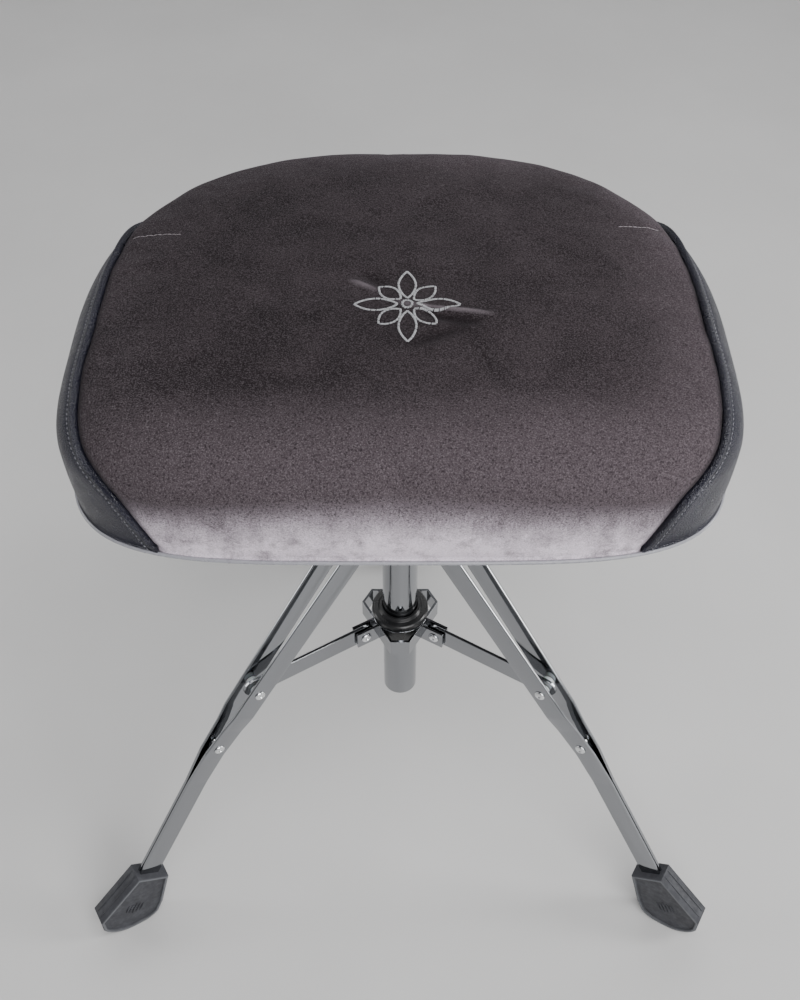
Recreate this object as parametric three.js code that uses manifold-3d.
// Drum throne: a padded saddle seat on a gas lift, carried by a folding tripod.
// Units are millimetres, +Z is up, and the floor is z = 0. The seat's straight edge faces -Y.
// The origin is on the floor under the middle of the outline, so the tripod's tube stands
// a little in front of it, at AXIS_Y.

import * as THREE from 'three';
import { mergeVertices } from 'three/addons/utils/BufferGeometryUtils.js';
import Module from 'manifold-3d';

const wasm = await Module();
wasm.setup();

// ---------- driving dimensions ----------

const GAP = 0.35; // clearance between pieces that touch
const LEG_AZIMUTHS = { left: 210, right: 330, rear: 90 }; // degrees from +X, seen from above

// centre tube
const TUBE_RADIUS = 14.25;
const TUBE_WALL = 1.5;
const TUBE_BOTTOM = 180;
const TUBE_TOP = 428;
const TUBE_BORE = TUBE_RADIUS - TUBE_WALL;

// legs, drawn in the upright plane of each leg: r from the tube's axis, z up, s sideways
const BAR_HEIGHT = 19;
const BAR_THICKNESS = 2.8;
const LEG_PIVOT = new THREE.Vector2(36, 410);
const UPPER_SLOPE = 54; // degrees below the horizontal
const LOWER_SLOPE = 60.5;
const BRACE_DISTANCE = 169.3; // all distances run down the leg from its top pivot
const JOGGLE_START = 197;
const JOGGLE_END = 215;
const LOWER_RIVET_DISTANCE = 238;
const BEND_DISTANCE = 246;
const MEET_DISTANCE = 285;
const LEG_LENGTH = 438;
const TOP_SPREAD = 11.5; // sideways offset of a bar's middle from the leg's plane
const BRACE_SPREAD = 8.6;
const JOGGLE_SPREAD = 5.9;
const MEET_SPREAD = BAR_THICKNESS / 2 + GAP;

// feet
const FOOT_WIDTH = 18.8;
const FOOT_REACH = 315;
const FOOT_PAD_LENGTH = 6; // flat underside that rests on the floor
const FOOT_PAD_CENTRE = 285;
const FOOT_NOSE_HEIGHT = 20; // lower end of the short upright nose
const FOOT_HEEL = new THREE.Vector2(264, 7.5); // r and z, like the next three
const FOOT_INNER_SIDE = new THREE.Vector2(258, 21);
const FOOT_TOP_INNER = new THREE.Vector2(246, 60);
const FOOT_TOP_OUTER = new THREE.Vector2(272, 78);
const FOOT_NOSE_TOP = 35;

// braces
const BRACE_THICKNESS = 3;
const BRACE_INNER = new THREE.Vector2(35, 276);

// collars, each a folded six-sided band with a pair of ears for every leg
const LOWER_BAND_BOTTOM = 267;
const LOWER_BAND_TOP = 284;
const LOWER_LONG_SIDE = 22.9; // distance from the axis to the sides that face the legs
const LOWER_SHORT_SIDE = 32.3; // distance to the sides between the legs
const LOWER_EAR_GAP = 3; // half the space between the two ears of a lug
const LOWER_EAR_REACH = 43;
const BAND_THICKNESS = 2;
const UPPER_BAND_BOTTOM = 397;
const UPPER_BAND_TOP = 423;
const UPPER_LONG_SIDE = 19;
const UPPER_EAR_GAP = 7.4;
const UPPER_EAR_REACH = 45;
const COLLAR_BUSH_RADIUS = 20.4;
const COLLAR_FLANGE_RADIUS = 23.4;

// rivets
const PIVOT_RIVET_RADIUS = 3;
const SMALL_RIVET_RADIUS = 2.4;
const RIVET_HEAD_RADIUS = 4.3;
const RIVET_HEAD_HEIGHT = 1.9;
const SPACER_RADIUS = 4.8;

// gas spring
const CYLINDER_RADIUS = 11;
const CYLINDER_WALL = 2;
const CYLINDER_BOTTOM = 275;
const CYLINDER_TOP = 508;
const ROD_RADIUS = 4;
const ROD_TOP = 345;
const BUTTON_RADIUS = 3;

// seat
const SEAT_BOTTOM = 540.6;
const SEAT_HALF_WIDTH = 211.5;
const SEAT_WAIST_Y = -22; // widest place, measured from the tube's axis
const SEAT_FRONT = 136; // from the waist to the straight edge
const SEAT_BACK = 207; // from the waist to the rounded edge
const FRONT_EXPONENT = 4.3; // squareness of the outline in front of the waist
const BACK_EXPONENT = 2.45;
const BOTTOM_INSET = 3; // the side wall leans in to the bottom edge by this much
const WALL_UPRIGHT = 562; // height where the side wall becomes upright
const ROLL_START = 590; // height where the side wall begins to roll over
const ROLL_HEIGHT = 32;
const ROLL_INSET = 34;
const CROWN = 9;
const CROWN_Y = 5; // highest place, measured from the tube's axis
const COVER_THICKNESS = 3;
const BOARD_THICKNESS = 12;
const PLUSH_HALF_WIDTH = 193; // to the seam with a side panel, at the waist
const PLUSH_FRONT_HALF_WIDTH = 150; // to the same seam on the front face
const PLUSH_BACK_Y = 100; // where the seam runs off over the side, from the tube's axis

// seat fittings
const HUB_BOTTOM = 490;
const HUB_TOP = 535;
const HUB_BORE = 13.7;
const HUB_NECK_RADIUS = 18;
const HUB_FLANGE_RADIUS = 31;
const PLATE_SIZE = 100;
const PLATE_THICKNESS = 3.5;
const PLATE_CORNER = 10;
const DUST_COVER_THICKNESS = 1.2;
const SCREW_OFFSET = 38;
const SCREW_RADIUS = 2.6;
const SCREW_HEAD_RADIUS = 5.6;
const LEVER_PIVOT = new THREE.Vector2(18, 519); // x and z
const LEVER_THICKNESS = 6;
const LEVER_PIN_RADIUS = 2;
const LEVER_HEIGHT = 8;
const LEVER_DROP = 14; // step down outside the hub, clear of the seat
const LEVER_REACH = 158;
const GRIP_START = 114;

const REAR_REACH = FOOT_REACH;
const FRONT_REACH = FOOT_REACH * Math.cos(Math.PI / 3) + (FOOT_WIDTH / 2) * Math.sin(Math.PI / 3);
const AXIS_Y = (FRONT_REACH - REAR_REACH) / 2;

// ---------- finishes ----------

const FINISHES = {
  chrome: { color: 0xd4d6da, roughness: 0.12, metalness: 1 },
  steel: { color: 0x9a9ca0, roughness: 0.35, metalness: 1 },
  blackSteel: { color: 0x17181a, roughness: 0.45, metalness: 0.6 },
  blackPlastic: { color: 0x0d0d0e, roughness: 0.4, metalness: 0 },
  nylon: { color: 0xd9d9d4, roughness: 0.5, metalness: 0 },
  rubber: { color: 0x2c2d30, roughness: 0.8, metalness: 0 },
  plush: { color: 0x5b4f54, roughness: 0.95, metalness: 0 },
  vinyl: { color: 0x111216, roughness: 0.45, metalness: 0 },
  foam: { color: 0xd8cf9f, roughness: 0.95, metalness: 0 },
  plywood: { color: 0xb48a5a, roughness: 0.7, metalness: 0 },
  dustCover: { color: 0x1b1b1d, roughness: 0.95, metalness: 0 },
};

function add(group, name, geometry, finish) {
  const mesh = new THREE.Mesh(geometry, new THREE.MeshStandardMaterial(FINISHES[finish]));
  mesh.name = name;
  group.add(mesh);
  return mesh;
}

// ---------- solid helpers ----------

const radians = THREE.MathUtils.degToRad;

function toSolid(geometry) {
  const bare = new THREE.BufferGeometry();
  bare.setAttribute('position', geometry.getAttribute('position'));
  bare.setIndex(geometry.getIndex());
  const merged = mergeVertices(bare, 1e-4);
  return new wasm.Manifold(new wasm.Mesh({
    numProp: 3,
    vertProperties: new Float32Array(merged.getAttribute('position').array),
    triVerts: new Uint32Array(merged.getIndex().array),
  }));
}

function toGeometry(solid) {
  const mesh = solid.getMesh();
  const geometry = new THREE.BufferGeometry();
  geometry.setAttribute('position', new THREE.BufferAttribute(mesh.vertProperties, 3));
  geometry.setIndex(new THREE.BufferAttribute(mesh.triVerts, 1));
  geometry.computeVertexNormals();
  return geometry;
}

function cut(geometry, ...tools) {
  return toGeometry(tools.reduce((solid, tool) => solid.subtract(toSolid(tool)), toSolid(geometry)));
}

function keepInside(geometry, tool) {
  return toGeometry(toSolid(geometry).intersect(toSolid(tool)));
}

// A closed skin over rings of points, each end closed by a fan round the ring's middle
// or round the tip that is given.
function loft(rings, tips = []) {
  const count = rings[0].length;
  const points = rings.flat();
  const faces = [];
  for (let level = 0; level + 1 < rings.length; level++) {
    for (let i = 0; i < count; i++) {
      const a = level * count + i;
      const b = level * count + ((i + 1) % count);
      faces.push(a, b, b + count, a, b + count, a + count);
    }
  }
  [0, rings.length - 1].forEach((level, end) => {
    const middle = new THREE.Vector3();
    rings[level].forEach((point) => middle.addScaledVector(point, 1 / count));
    points.push(tips[end] ?? middle);
    for (let i = 0; i < count; i++) {
      const a = level * count + i;
      const b = level * count + ((i + 1) % count);
      faces.push(points.length - 1, end ? a : b, end ? b : a);
    }
  });
  const geometry = new THREE.BufferGeometry().setFromPoints(points);
  geometry.setIndex(faces);
  geometry.computeVertexNormals();
  return geometry;
}

// A solid of revolution about +Z from [radius, z] points, which start and end on the axis
// or close on themselves.
function turned(profile, segments = 28) {
  const points = profile.map(([radius, z]) => new THREE.Vector2(radius, z));
  return new THREE.LatheGeometry(points, segments).rotateX(Math.PI / 2);
}

// A ring with a square section about +Z.
function sleeve(inner, outer, bottom, top, segments = 28) {
  return turned([[inner, bottom], [outer, bottom], [outer, top], [inner, top], [inner, bottom]], segments);
}

function plate(shape, bottom, thickness) {
  const settings = { depth: thickness, bevelEnabled: false, curveSegments: 8 };
  return new THREE.ExtrudeGeometry(shape, settings).translate(0, 0, bottom);
}

// An outline drawn in a leg's plane, (r, z), given a thickness centred on s = 0.
function uprightPlate(shape, thickness) {
  return plate(shape, -thickness / 2, thickness).rotateX(Math.PI / 2);
}

function crossPin(radius, length, centre, segments = 12) {
  return new THREE.CylinderGeometry(radius, radius, length, segments).translate(centre.x, 0, centre.y);
}

// ---------- centre tube and gas spring ----------

function buildColumn(group) {
  add(group, 'centre_tube', sleeve(TUBE_BORE, TUBE_RADIUS, TUBE_BOTTOM, TUBE_TOP, 32), 'chrome');

  const bushRadius = TUBE_BORE - GAP;
  const bushBore = CYLINDER_RADIUS + GAP;
  const flangeBottom = TUBE_TOP + GAP;
  const topBush = turned([
    [bushBore, UPPER_BAND_BOTTOM],
    [bushRadius, UPPER_BAND_BOTTOM],
    [bushRadius, flangeBottom],
    [TUBE_RADIUS + 2, flangeBottom],
    [TUBE_RADIUS + 2, flangeBottom + 3],
    [TUBE_RADIUS, flangeBottom + 5],
    [bushBore, flangeBottom + 5],
    [bushBore, UPPER_BAND_BOTTOM],
  ]);
  add(group, 'column_top_bush', topBush, 'blackPlastic');

  const plugBottom = TUBE_BOTTOM + 4;
  const plugTop = plugBottom + 6;
  const bearingTop = plugTop + GAP + 4;
  add(group, 'column_end_plug', sleeve(ROD_RADIUS + GAP, bushRadius, plugBottom, plugTop), 'steel');
  const bearing = sleeve(ROD_RADIUS + GAP, 9, plugTop + GAP, bearingTop, 24);
  add(group, 'thrust_bearing', bearing, 'steel');
  const clip = sleeve(ROD_RADIUS + GAP, 8, plugBottom - GAP - 1.6, plugBottom - GAP, 24);
  add(group, 'rod_retaining_clip', clip, 'blackSteel');

  const pistonRadius = CYLINDER_RADIUS - CYLINDER_WALL - GAP;
  const rod = turned([
    [0, TUBE_BOTTOM + 0.6],
    [ROD_RADIUS, TUBE_BOTTOM + 0.6],
    [ROD_RADIUS, ROD_TOP - 10],
    [pistonRadius, ROD_TOP - 10],
    [pistonRadius, ROD_TOP],
    [0, ROD_TOP],
  ], 24);
  add(group, 'gas_spring_rod', rod, 'steel');
}

function buildGasCylinder(group) {
  const bore = CYLINDER_RADIUS - CYLINDER_WALL;
  const rodHole = ROD_RADIUS + GAP;
  const buttonHole = BUTTON_RADIUS + GAP;
  const cylinder = turned([
    [rodHole, CYLINDER_BOTTOM],
    [CYLINDER_RADIUS, CYLINDER_BOTTOM],
    [CYLINDER_RADIUS, CYLINDER_TOP],
    [buttonHole, CYLINDER_TOP],
    [buttonHole, CYLINDER_TOP - 8],
    [bore, CYLINDER_TOP - 8],
    [bore, CYLINDER_BOTTOM + 6],
    [rodHole, CYLINDER_BOTTOM + 6],
    [rodHole, CYLINDER_BOTTOM],
  ]);
  add(group, 'gas_cylinder', cylinder, 'chrome');

  const button = turned([
    [0, CYLINDER_TOP - 6],
    [BUTTON_RADIUS, CYLINDER_TOP - 6],
    [BUTTON_RADIUS, CYLINDER_TOP + 3],
    [BUTTON_RADIUS + 0.8, CYLINDER_TOP + 3],
    [BUTTON_RADIUS + 0.8, CYLINDER_TOP + 5.5],
    [BUTTON_RADIUS - 0.5, CYLINDER_TOP + 6.5],
    [0, CYLINDER_TOP + 6.5],
  ], 16);
  add(group, 'valve_button', button, 'steel');
}

// ---------- collars ----------

// The band in plan: long sides face the legs, short sides lie between them, and each long
// side carries two ears when ears are given.
function bandOutline(longSide, shortSide, ears) {
  const corner = (shortSide - longSide * Math.cos(Math.PI / 3)) / Math.sin(Math.PI / 3);
  const halfLug = [[longSide, corner]];
  if (ears) {
    const outside = ears.gap + BAND_THICKNESS;
    halfLug.push([longSide, outside], [ears.reach, outside], [ears.reach, ears.gap], [longSide, ears.gap]);
  }
  const lug = [...halfLug.map(([r, s]) => [r, -s]), ...halfLug.reverse()];
  return Object.values(LEG_AZIMUTHS).sort((a, b) => a - b).flatMap((azimuth) => {
    const angle = radians(azimuth);
    return lug.map(([r, s]) => new THREE.Vector2(r, s).rotateAround(new THREE.Vector2(), angle));
  });
}

function band({ longSide, shortSide, ears, bottom, top, pivot, rivetRadius, bore }) {
  const shape = new THREE.Shape(bandOutline(longSide, shortSide, ears));
  if (bore) {
    shape.holes.push(new THREE.Path().absarc(0, 0, bore, 0, Math.PI * 2, true));
  } else {
    const inside = bandOutline(longSide - BAND_THICKNESS, shortSide - BAND_THICKNESS);
    shape.holes.push(new THREE.Path(inside));
  }
  const holes = Object.values(LEG_AZIMUTHS).map((azimuth) => {
    const hole = crossPin(rivetRadius + GAP, 2 * (ears.gap + BAND_THICKNESS) + 4, pivot);
    return hole.rotateZ(radians(azimuth));
  });
  return cut(plate(shape, bottom, top - bottom), ...holes);
}

function buildUpperCollar(group) {
  const collar = band({
    longSide: UPPER_LONG_SIDE,
    shortSide: UPPER_LONG_SIDE,
    ears: { gap: UPPER_EAR_GAP, reach: UPPER_EAR_REACH },
    bottom: UPPER_BAND_BOTTOM,
    top: UPPER_BAND_TOP,
    pivot: LEG_PIVOT,
    rivetRadius: PIVOT_RIVET_RADIUS,
    bore: TUBE_RADIUS + GAP,
  });
  add(group, 'upper_collar', collar, 'chrome');
}

function buildLowerCollar(group) {
  const collar = band({
    longSide: LOWER_LONG_SIDE,
    shortSide: LOWER_SHORT_SIDE,
    ears: { gap: LOWER_EAR_GAP, reach: LOWER_EAR_REACH },
    bottom: LOWER_BAND_BOTTOM,
    top: LOWER_BAND_TOP,
    pivot: BRACE_INNER,
    rivetRadius: SMALL_RIVET_RADIUS,
  });
  add(group, 'lower_collar', collar, 'chrome');

  const bore = TUBE_RADIUS + GAP;
  const washerBottom = LOWER_BAND_TOP + GAP;
  const flangeBottom = washerBottom + 1.5 + GAP;
  const washerBore = COLLAR_BUSH_RADIUS + GAP;
  const washer = sleeve(washerBore, COLLAR_FLANGE_RADIUS + 0.4, washerBottom, washerBottom + 1.5, 32);
  add(group, 'collar_washer', washer, 'chrome');
  const bush = turned([
    [bore, LOWER_BAND_BOTTOM - 2],
    [COLLAR_BUSH_RADIUS, LOWER_BAND_BOTTOM - 2],
    [COLLAR_BUSH_RADIUS, flangeBottom],
    [COLLAR_FLANGE_RADIUS, flangeBottom],
    [COLLAR_FLANGE_RADIUS, flangeBottom + 4],
    [COLLAR_FLANGE_RADIUS - 1.5, flangeBottom + 5.5],
    [TUBE_RADIUS + 4, flangeBottom + 5.5],
    [TUBE_RADIUS + 2.5, flangeBottom + 8],
    [bore, flangeBottom + 8],
    [bore, LOWER_BAND_BOTTOM - 2],
  ], 32);
  add(group, 'collar_bush', bush, 'blackPlastic');
}

// ---------- rivets ----------

// A rivet across a leg's plane, with a domed head on both ends. halfGrip is where the heads start.
function rivet(radius, halfGrip, headRadius, centre) {
  const tip = halfGrip + RIVET_HEAD_HEIGHT;
  const half = [[0, tip], [headRadius * 0.6, tip - 0.3], [headRadius, halfGrip], [radius, halfGrip]];
  const profile = [...half, ...half.map(([r, s]) => [r, -s]).reverse()].reverse();
  return turned(profile, 12).rotateX(Math.PI / 2).translate(centre.x, 0, centre.y);
}

// One end of the pin that joins a brace to a leg: a spacer beside the brace, a shank through
// the bar and a head outside it. side is 1 or -1.
function braceStub(side) {
  const inner = BRACE_THICKNESS / 2 + GAP;
  const barInside = BRACE_SPREAD - BAR_THICKNESS / 2 - 0.6;
  const barOutside = BRACE_SPREAD + BAR_THICKNESS / 2 + GAP;
  const tip = barOutside + RIVET_HEAD_HEIGHT;
  const profile = [
    [0, inner],
    [SPACER_RADIUS, inner],
    [SPACER_RADIUS, barInside],
    [SMALL_RIVET_RADIUS, barInside],
    [SMALL_RIVET_RADIUS, barOutside],
    [RIVET_HEAD_RADIUS, barOutside],
    [RIVET_HEAD_RADIUS * 0.6, tip - 0.3],
    [0, tip],
  ];
  const centre = legPoint(BRACE_DISTANCE);
  const stub = turned(profile, 12).rotateX(-side * Math.PI / 2);
  return stub.translate(centre.x, 0, centre.y);
}

// ---------- legs ----------

function slopeDirection(slope) {
  return new THREE.Vector2(Math.cos(radians(slope)), -Math.sin(radians(slope)));
}

// The middle of a leg at a distance down from its top pivot.
function legPoint(distance) {
  const upper = Math.min(distance, BEND_DISTANCE);
  const lower = Math.max(distance - BEND_DISTANCE, 0);
  return LEG_PIVOT.clone()
    .addScaledVector(slopeDirection(UPPER_SLOPE), upper)
    .addScaledVector(slopeDirection(LOWER_SLOPE), lower);
}

// The sideways offset of a bar's middle: apart at the top, joggled at the knee, then together.
function legSpread(distance) {
  const knots = [
    [0, TOP_SPREAD],
    [BRACE_DISTANCE, BRACE_SPREAD],
    [JOGGLE_START, BRACE_SPREAD - 0.3],
    [JOGGLE_END, JOGGLE_SPREAD],
    [MEET_DISTANCE, MEET_SPREAD],
    [LEG_LENGTH, MEET_SPREAD],
  ];
  const next = knots.findIndex(([at]) => at >= distance);
  if (next <= 0) return knots[0][1];
  const [fromAt, from] = knots[next - 1];
  const [toAt, to] = knots[next];
  return THREE.MathUtils.mapLinear(distance, fromAt, toAt, from, to);
}

// One flat bar of a leg on the side given by 1 or -1. Its top end is round about the pivot.
function legBar(side) {
  const roundEnd = [80, 55, 30].map((degrees) => ({
    at: -Math.sin(radians(degrees)) * (BAR_HEIGHT / 2),
    half: Math.cos(radians(degrees)) * (BAR_HEIGHT / 2),
  }));
  const straight = [0, BRACE_DISTANCE, JOGGLE_START, JOGGLE_END, BEND_DISTANCE, MEET_DISTANCE, LEG_LENGTH];
  const stations = [...roundEnd, ...straight.map((at) => ({ at, half: BAR_HEIGHT / 2 }))];
  const rings = stations.map(({ at, half }) => {
    const middle = legPoint(at);
    let slope = at > BEND_DISTANCE ? LOWER_SLOPE : UPPER_SLOPE;
    if (at === BEND_DISTANCE) slope = (UPPER_SLOPE + LOWER_SLOPE) / 2;
    const along = slopeDirection(slope);
    const s = side * legSpread(Math.max(at, 0));
    const corners = [[1, 1], [1, -1], [-1, -1], [-1, 1]];
    return corners.map(([up, out]) => new THREE.Vector3(
      middle.x - along.y * half * up,
      s + (BAR_THICKNESS / 2) * out,
      middle.y + along.x * half * up,
    ));
  });
  const holes = [
    crossPin(PIVOT_RIVET_RADIUS + GAP, 60, LEG_PIVOT),
    crossPin(SMALL_RIVET_RADIUS + GAP, 60, legPoint(BRACE_DISTANCE)),
    crossPin(SMALL_RIVET_RADIUS + GAP, 60, legPoint(LOWER_RIVET_DISTANCE)),
  ];
  return cut(loft(rings), ...holes);
}

// Radius of the arc that leaves the floor level and reaches a height over a run.
function arcRadius(run, height) {
  return (run ** 2 + height ** 2) / (2 * height);
}

// The rubber foot: its top is square to the leg, its underside is an arc with a flat pad.
function foot() {
  const padOuter = FOOT_PAD_CENTRE + FOOT_PAD_LENGTH / 2;
  const padInner = FOOT_PAD_CENTRE - FOOT_PAD_LENGTH / 2;
  const outerRadius = arcRadius(FOOT_REACH - padOuter, FOOT_NOSE_HEIGHT);
  const heelRadius = arcRadius(padInner - FOOT_HEEL.x, FOOT_HEEL.y);
  const noseAngle = Math.atan2(FOOT_NOSE_HEIGHT - outerRadius, FOOT_REACH - padOuter);
  const heelAngle = -Math.atan2(heelRadius - FOOT_HEEL.y, FOOT_HEEL.x - padInner);
  const shape = new THREE.Shape();
  shape.moveTo(FOOT_TOP_INNER.x, FOOT_TOP_INNER.y);
  shape.lineTo(FOOT_TOP_OUTER.x, FOOT_TOP_OUTER.y);
  shape.lineTo(FOOT_REACH, FOOT_NOSE_TOP);
  shape.absarc(padOuter, outerRadius, outerRadius, noseAngle, -Math.PI / 2, true);
  shape.absarc(padInner, heelRadius, heelRadius, -Math.PI / 2, heelAngle, true);
  shape.lineTo(FOOT_INNER_SIDE.x, FOOT_INNER_SIDE.y);
  const pocketRadius = BAR_HEIGHT / 2 + GAP;
  const pocketWidth = 2 * (MEET_SPREAD + BAR_THICKNESS / 2 + GAP);
  const end = legPoint(LEG_LENGTH + GAP);
  const pocketLength = 80;
  const pocket = new THREE.BoxGeometry(pocketLength, pocketWidth, 2 * pocketRadius);
  pocket.translate(-pocketLength / 2, 0, 0);
  pocket.rotateY(radians(LOWER_SLOPE)).translate(end.x, 0, end.y);
  return cut(uprightPlate(shape, FOOT_WIDTH), pocket);
}

function buildLeg(group, name) {
  add(group, `${name}_leg_bar_a`, legBar(1), 'chrome');
  add(group, `${name}_leg_bar_b`, legBar(-1), 'chrome');
  add(group, `${name}_brace_pin_a`, braceStub(1), 'chrome');
  add(group, `${name}_brace_pin_b`, braceStub(-1), 'chrome');
  const lowerGrip = legSpread(LOWER_RIVET_DISTANCE) + BAR_THICKNESS / 2 + 2 * GAP;
  const lowerCentre = legPoint(LOWER_RIVET_DISTANCE);
  const lowerRivet = rivet(SMALL_RIVET_RADIUS, lowerGrip, RIVET_HEAD_RADIUS, lowerCentre);
  add(group, `${name}_leg_rivet`, lowerRivet, 'chrome');
  add(group, `${name}_foot`, foot(), 'rubber');
}

// ---------- braces ----------

function brace() {
  const outer = legPoint(BRACE_DISTANCE);
  const tilt = outer.clone().sub(BRACE_INNER).angle();
  const length = outer.distanceTo(BRACE_INNER);
  const end = BAR_HEIGHT / 2;
  const shape = new THREE.Shape();
  shape.absarc(0, 0, end, Math.PI / 2, Math.PI * 1.5, false);
  shape.absarc(length, 0, end, -Math.PI / 2, Math.PI / 2, false);
  [0, length].forEach((x) => {
    const hole = new THREE.Path();
    shape.holes.push(hole.absarc(x, 0, SMALL_RIVET_RADIUS + GAP, 0, Math.PI * 2, true));
  });
  const bar = uprightPlate(shape, BRACE_THICKNESS).rotateY(-tilt);
  return bar.translate(BRACE_INNER.x, 0, BRACE_INNER.y);
}

// ---------- seat ----------

// The seat's outline, drawn inwards by inset, at a height. Two half super-ellipses meet at the waist.
function seatRing(inset, z, count = 36) {
  const width = SEAT_HALF_WIDTH - inset;
  return Array.from({ length: count }, (_, i) => {
    const angle = (i / count) * Math.PI * 2;
    const back = Math.sin(angle) > 0;
    const depth = (back ? SEAT_BACK : SEAT_FRONT) - inset;
    const power = 2 / (back ? BACK_EXPONENT : FRONT_EXPONENT);
    const x = Math.sign(Math.cos(angle)) * Math.abs(Math.cos(angle)) ** power * width;
    const y = Math.sign(Math.sin(angle)) * Math.abs(Math.sin(angle)) ** power * depth;
    return new THREE.Vector3(x, SEAT_WAIST_Y + y, z);
  });
}

// The cushion's outer skin, or the same form drawn inwards by a depth, from a given bottom.
function cushion(depth, bottom) {
  const rings = [seatRing(BOTTOM_INSET + depth, bottom), seatRing(depth, WALL_UPRIGHT)];
  [0, 30, 60, 90].forEach((degrees) => {
    const inset = ROLL_INSET * (1 - Math.cos(radians(degrees)));
    const rise = (ROLL_HEIGHT - depth) * Math.sin(radians(degrees));
    rings.push(seatRing(inset + depth, ROLL_START + rise));
  });
  const rim = rings.at(-1);
  const peak = new THREE.Vector3(0, CROWN_Y, ROLL_START + ROLL_HEIGHT - depth + CROWN);
  [0.7, 0.35].forEach((share) => {
    rings.push(rim.map((point) => {
      const inner = point.clone().lerp(peak, 1 - share);
      return inner.setZ(peak.z - CROWN * share ** 2);
    }));
  });
  return loft(rings, [undefined, peak]);
}

// Plan outline of the plush panel. It runs over the back edge at full width and over the
// front edge, and stays in from the sides, where the side panels widen round the front corners.
function plushOutline(margin) {
  const side = PLUSH_HALF_WIDTH - margin;
  const front = PLUSH_FRONT_HALF_WIDTH - margin;
  const outside = SEAT_HALF_WIDTH + 20;
  const beyond = SEAT_BACK + 40;
  const crossing = PLUSH_BACK_Y + margin;
  const shape = new THREE.Shape();
  shape.moveTo(-outside, beyond);
  shape.lineTo(-outside, crossing);
  shape.lineTo(-side - 16, crossing);
  shape.bezierCurveTo(-side - 4, crossing - 8, -side + 2, crossing - 40, -side + 1, 30);
  shape.bezierCurveTo(-side, 0, -side, -20, -side, -50);
  shape.bezierCurveTo(-side, -90, -side + 3, -110, -side + 13, -132);
  shape.bezierCurveTo(-side + 21, -146, -front - 6, -150, -front, -168);
  shape.lineTo(-front, -beyond);
  shape.lineTo(front, -beyond);
  shape.lineTo(front, -168);
  shape.bezierCurveTo(front + 6, -150, side - 21, -146, side - 13, -132);
  shape.bezierCurveTo(side - 3, -110, side, -90, side, -50);
  shape.bezierCurveTo(side, -20, side, 0, side - 1, 30);
  shape.bezierCurveTo(side - 2, crossing - 40, side + 4, crossing - 8, side + 16, crossing);
  shape.lineTo(outside, crossing);
  shape.lineTo(outside, beyond);
  return shape;
}

function screwHoles(radius, bottom, top) {
  return [[1, 1], [1, -1], [-1, 1], [-1, -1]].map(([x, y]) => (
    turned([[0, bottom], [radius, bottom], [radius, top], [0, top]], 12)
      .translate(x * SCREW_OFFSET, y * SCREW_OFFSET, 0)
  ));
}

function buildCushion(group) {
  const boardTop = SEAT_BOTTOM + BOARD_THICKNESS;
  const inside = COVER_THICKNESS + GAP;
  const skin = cut(cushion(0, SEAT_BOTTOM), cushion(COVER_THICKNESS, SEAT_BOTTOM - 5));
  const settings = { depth: 200, bevelEnabled: false, curveSegments: 5 };
  const plushRegion = new THREE.ExtrudeGeometry(plushOutline(0), settings).translate(0, 0, 500);
  const keepOut = new THREE.ExtrudeGeometry(plushOutline(-GAP), settings).translate(0, 0, 500);
  const half = new THREE.BoxGeometry(400, 600, 400);
  add(group, 'plush_cover', keepInside(skin, plushRegion), 'plush');
  const panels = cut(skin, keepOut);
  add(group, 'left_side_panel', keepInside(panels, half.clone().translate(-200, 0, 600)), 'vinyl');
  add(group, 'right_side_panel', keepInside(panels, half.clone().translate(200, 0, 600)), 'vinyl');

  add(group, 'seat_foam', cushion(inside, boardTop + GAP), 'foam');

  const boardRings = [seatRing(inside + 4, SEAT_BOTTOM), seatRing(inside + 3, boardTop)];
  const board = cut(loft(boardRings), ...screwHoles(SCREW_RADIUS + GAP, SEAT_BOTTOM - 5, SEAT_BOTTOM + 10));
  add(group, 'seat_board', board, 'plywood');

  const dustTop = SEAT_BOTTOM - GAP;
  const dustRings = [seatRing(9, dustTop - DUST_COVER_THICKNESS), seatRing(9, dustTop)];
  const dustCover = cut(loft(dustRings), ...screwHoles(SCREW_RADIUS + GAP, SEAT_BOTTOM - 5, SEAT_BOTTOM));
  add(group, 'seat_dust_cover', dustCover, 'dustCover');
}

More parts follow.
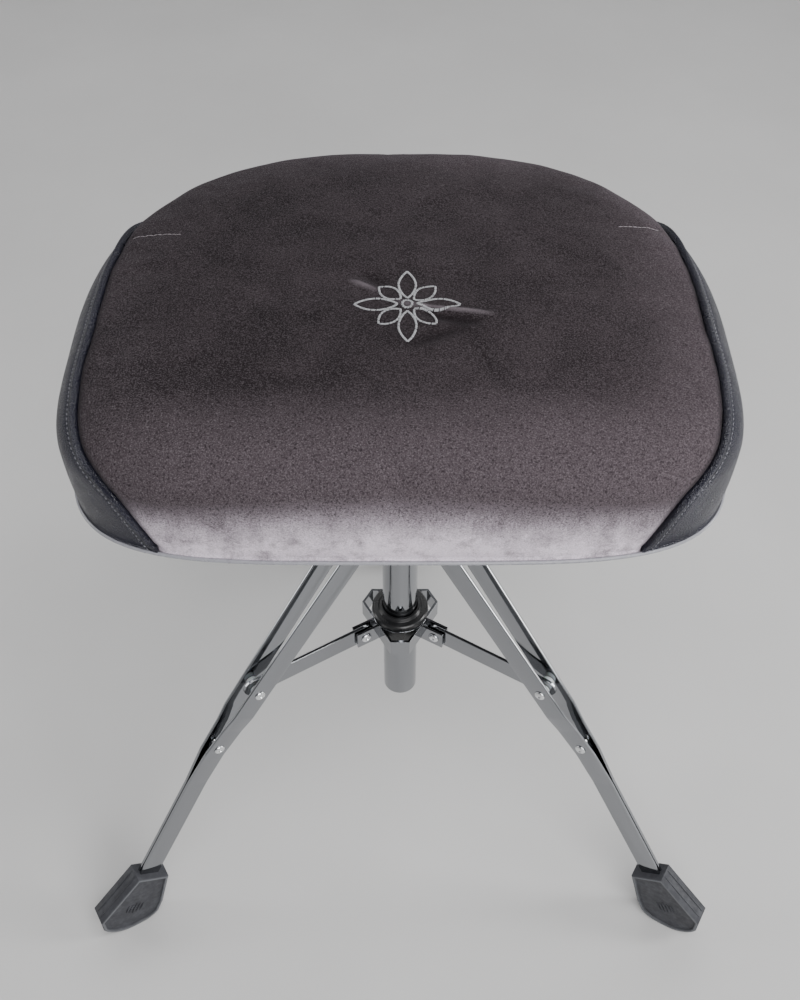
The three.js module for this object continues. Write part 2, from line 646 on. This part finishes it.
function buildSeatFittings(group) {
  const plateTop = SEAT_BOTTOM - GAP - DUST_COVER_THICKNESS - GAP;
  const plateBottom = plateTop - PLATE_THICKNESS;
  const shape = new THREE.Shape();
  const centre = PLATE_SIZE / 2 - PLATE_CORNER;
  [[1, 1], [-1, 1], [-1, -1], [1, -1]].forEach(([x, y], i) => {
    const start = (i * Math.PI) / 2;
    shape.absarc(x * centre, y * centre, PLATE_CORNER, start, start + Math.PI / 2, false);
  });
  const holes = screwHoles(SCREW_RADIUS + GAP, plateBottom - 5, plateTop + 5);
  const settings = { depth: PLATE_THICKNESS, bevelEnabled: false, curveSegments: 4 };
  const platform = new THREE.ExtrudeGeometry(shape, settings).translate(0, 0, plateBottom);
  add(group, 'seat_mounting_plate', cut(platform, ...holes), 'blackSteel');

  const screwNames = ['front_left', 'front_right', 'rear_left', 'rear_right'];
  screwNames.forEach((name) => {
    const x = name.includes('right') ? SCREW_OFFSET : -SCREW_OFFSET;
    const y = name.includes('rear') ? SCREW_OFFSET : -SCREW_OFFSET;
    const headTop = plateBottom - GAP;
    const screw = turned([
      [0, headTop - 3.2],
      [3.5, headTop - 3.2],
      [SCREW_HEAD_RADIUS, headTop - 1.2],
      [SCREW_HEAD_RADIUS, headTop],
      [SCREW_RADIUS, headTop],
      [SCREW_RADIUS, SEAT_BOTTOM + 7],
      [0, SEAT_BOTTOM + 9],
    ], 12);
    add(group, `${name}_seat_screw`, screw.translate(x, y, 0), 'blackSteel');
  });

  const hub = turned([
    [HUB_BORE, HUB_BOTTOM],
    [HUB_NECK_RADIUS, HUB_BOTTOM],
    [HUB_NECK_RADIUS + 2, HUB_BOTTOM + 3],
    [HUB_NECK_RADIUS + 4, HUB_TOP - 8],
    [HUB_FLANGE_RADIUS, HUB_TOP - 4],
    [HUB_FLANGE_RADIUS, HUB_TOP - GAP],
    [HUB_BORE, HUB_TOP - GAP],
    [HUB_BORE, HUB_BOTTOM],
  ]);
  const slot = new THREE.BoxGeometry(24, LEVER_THICKNESS + 2.4, 15).translate(24, 0, LEVER_PIVOT.y);
  const pinHole = crossPin(LEVER_PIN_RADIUS + GAP, 60, LEVER_PIVOT);
  add(group, 'seat_socket_hub', cut(hub, slot, pinHole), 'blackSteel');
  const bush = sleeve(CYLINDER_RADIUS + GAP, HUB_BORE - GAP, HUB_BOTTOM + 1, CYLINDER_TOP - 2);
  add(group, 'swivel_bush', bush, 'nylon');
  add(group, 'lever_pin', crossPin(LEVER_PIN_RADIUS, 26, LEVER_PIVOT, 12), 'steel');
}

// The release lever lies over the valve button, passes out of the hub's slot, drops clear of
// the seat and ends in a plastic grip.
function buildLever(group) {
  const { x, y: z } = LEVER_PIVOT;
  const half = LEVER_HEIGHT / 2;
  const inner = -5;
  const outer = z - LEVER_DROP;
  const outline = [
    [inner, z - half], [x + 15, z - half], [x + 44, outer - half], [LEVER_REACH, outer - half - 3],
    [LEVER_REACH, outer + half - 3], [x + 46, outer + half], [x + 17, z + half], [inner, z + half],
  ];
  const shape = new THREE.Shape(outline.map(([px, pz]) => new THREE.Vector2(px, pz)));
  shape.holes.push(new THREE.Path().absarc(x, z, LEVER_PIN_RADIUS + GAP, 0, Math.PI * 2, true));
  const lever = uprightPlate(shape, LEVER_THICKNESS);
  add(group, 'release_lever', lever, 'blackSteel');

  const gripZ = outer - 2.2;
  const grip = turned([[0, 0], [6, 0], [8, 3], [7.4, 24], [8.6, 46], [6.5, 52], [0, 54]], 16);
  grip.rotateY(Math.PI / 2).translate(GRIP_START, 0, gripZ);
  const pocketLength = 60;
  const pocket = new THREE.BoxGeometry(pocketLength, LEVER_THICKNESS + 2 * GAP, LEVER_HEIGHT + 3);
  pocket.translate(LEVER_REACH + GAP - pocketLength / 2, 0, gripZ);
  add(group, 'lever_grip', cut(grip, pocket), 'blackPlastic');
}

// ---------- assembly ----------

const throne = new THREE.Group();
const onAxis = new THREE.Group();
onAxis.position.y = AXIS_Y;
throne.add(onAxis);

buildColumn(onAxis);
buildUpperCollar(onAxis);
buildLowerCollar(onAxis);
buildGasCylinder(onAxis);
buildCushion(onAxis);
buildSeatFittings(onAxis);
buildLever(onAxis);

Object.entries(LEG_AZIMUTHS).forEach(([name, azimuth]) => {
  const leg = new THREE.Group();
  leg.rotation.z = radians(azimuth);
  onAxis.add(leg);
  buildLeg(leg, name);
  const pivotGrip = TOP_SPREAD + BAR_THICKNESS / 2 + GAP;
  const pivotRivet = rivet(PIVOT_RIVET_RADIUS, pivotGrip, RIVET_HEAD_RADIUS + 1, LEG_PIVOT);
  add(leg, `${name}_pivot_rivet`, pivotRivet, 'chrome');
  add(leg, `${name}_brace`, brace(), 'chrome');
  const lugGrip = LOWER_EAR_GAP + BAND_THICKNESS + GAP;
  const lugRivet = rivet(SMALL_RIVET_RADIUS, lugGrip, RIVET_HEAD_RADIUS, BRACE_INNER);
  add(leg, `${name}_lug_rivet`, lugRivet, 'chrome');
});

export default throne;
